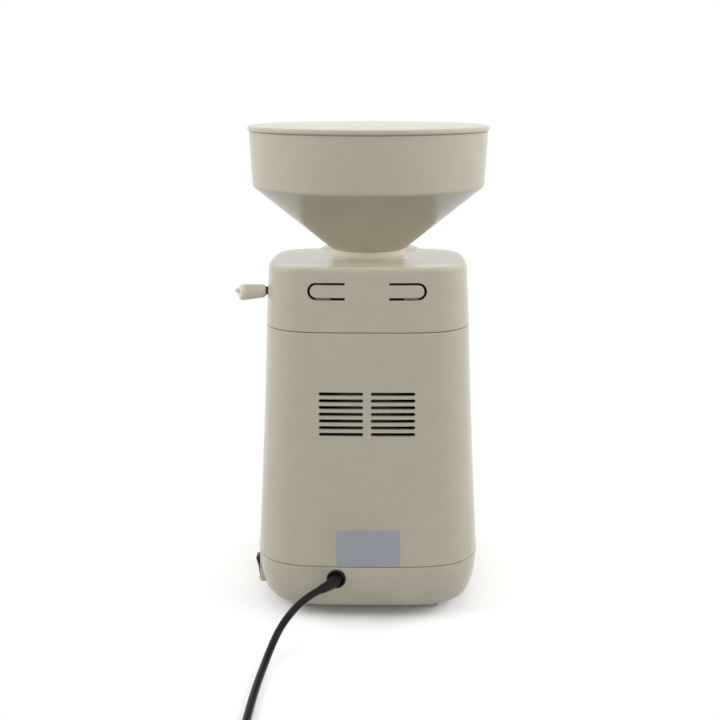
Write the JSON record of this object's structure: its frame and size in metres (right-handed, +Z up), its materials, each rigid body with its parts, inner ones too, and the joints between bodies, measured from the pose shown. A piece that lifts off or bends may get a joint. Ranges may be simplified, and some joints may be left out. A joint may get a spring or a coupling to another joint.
{
  "type": "electric grain mill",
  "caption": "Tall square-shouldered electric grain mill with a round lidded hopper, grind lever, flour spout, back latches and vents, rocker switch and a tied mains lead.",
  "frame": {"origin": "on the floor, under the middle of the mill's bounding box without its mains lead", "axes": "+Z up; +Y to the back of the mill, the side with the vents and the lead; +X to the side with the lever and the switch; the flour spout points to -Y"},
  "size_m": [0.1834, 0.4804, 0.3502],
  "materials": {
    "moulded_beige": "matte, fine mineral specks",
    "lever_beige": "satin",
    "foot_rubber": "matte",
    "black_rubber": "matte",
    "black_plastic": "satin",
    "steel": "satin",
    "cast_aluminium": "cast",
    "plate_silver": "satin foil",
    "stone": "rough mineral",
    "core_steel": "laminated",
    "copper": "varnished wire",
    "felt": "felt",
    "pale_plastic": "matte"
  },
  "bodies": {
    "mill": {"top_cover": "moulded_beige", "flour_spout": "moulded_beige", "spout_screws": "steel", "motor_housing": "moulded_beige", "rating_plate": "plate_silver", "base_tray": "moulded_beige", "rubber_feet": "foot_rubber", "base_screws": "steel", "switch_body": "black_plastic", "strain_relief": "black_rubber", "cord_clamp": "pale_plastic", "mains_cord": "black_rubber", "cord_coil": "black_rubber", "cord_tie": "black_plastic", "mains_plug": "black_rubber", "plug_pins": "steel", "guide_pins": "steel", "grinding_chamber": "moulded_beige", "chamber_screws": "steel", "shaft_seal": "felt", "motor_deck": "cast_aluminium", "deck_pads": "black_rubber", "deck_screws": "steel", "upper_end_shield": "cast_aluminium", "lower_end_shield": "cast_aluminium", "motor_bolts": "steel", "stator_core": "core_steel", "stator_windings": "copper", "upper_bearing": "steel", "lower_bearing": "steel", "run_capacitor": "cast_aluminium", "terminal_block": "pale_plastic", "inner_leads": "black_rubber"},
    "lid": {"hopper_lid": "moulded_beige"},
    "hopper": {"hopper": "moulded_beige"},
    "lever": {"adjusting_ring": "cast_aluminium", "lever_stem": "steel", "lever_knob": "lever_beige"},
    "upper_mill": {"stone_carrier": "cast_aluminium", "upper_stone": "stone", "stone_screws": "steel"},
    "rotor": {"motor_shaft": "steel", "rotor_core": "core_steel", "cooling_fan": "black_plastic", "runner_plate": "cast_aluminium", "lower_stone": "stone", "runner_screw": "steel"},
    "rocker": {"switch_rocker": "black_plastic"},
    "left_latch": {"latch_tongue_left": "moulded_beige"},
    "right_latch": {"latch_tongue_right": "moulded_beige"}
  },
  "joints": [
    {"name": "hopper_lift", "type": "slide", "parent": "mill", "child": "hopper", "axis": [0, 0, 1], "range_m": [0, 0.06]},
    {"name": "lid_lift", "type": "slide", "parent": "hopper", "child": "lid", "axis": [0, 0, 1], "range_m": [0, 0.06]},
    {"name": "lever_swing", "type": "hinge", "parent": "mill", "child": "lever", "pos_m": [-0.00347, 0.017, 0.2331], "axis": [0, 0, -1], "range_deg": [0, 45]},
    {"name": "stone_lift", "type": "slide", "parent": "mill", "child": "upper_mill", "axis": [0, 0, 1], "range_m": [0, 0.000625]},
    {"name": "motor_spin", "type": "hinge", "parent": "mill", "child": "rotor", "pos_m": [-0.00347, 0.017, 0.134], "axis": [0, 0, 1], "continuous": true},
    {"name": "rocker_tip", "type": "hinge", "parent": "mill", "child": "rocker", "pos_m": [0.07603, 0.059, 0.0252], "axis": [0, -1, 0], "range_deg": [0, 20]},
    {"name": "latch_left", "type": "hinge", "parent": "mill", "child": "left_latch", "pos_m": [0.01193, 0.0934, 0.2406], "axis": [0, 0, -1], "range_deg": [0, 5], "stiffness_Nm_per_rad": 0.4},
    {"name": "latch_right", "type": "hinge", "parent": "mill", "child": "right_latch", "pos_m": [-0.01887, 0.0934, 0.2406], "axis": [0, 0, 1], "range_deg": [0, 5], "stiffness_Nm_per_rad": 0.4}
  ],
  "couplings": [
    {"joint": "stone_lift", "follows": "lever_swing", "m_per_rad": 0.00079577}
  ]
}
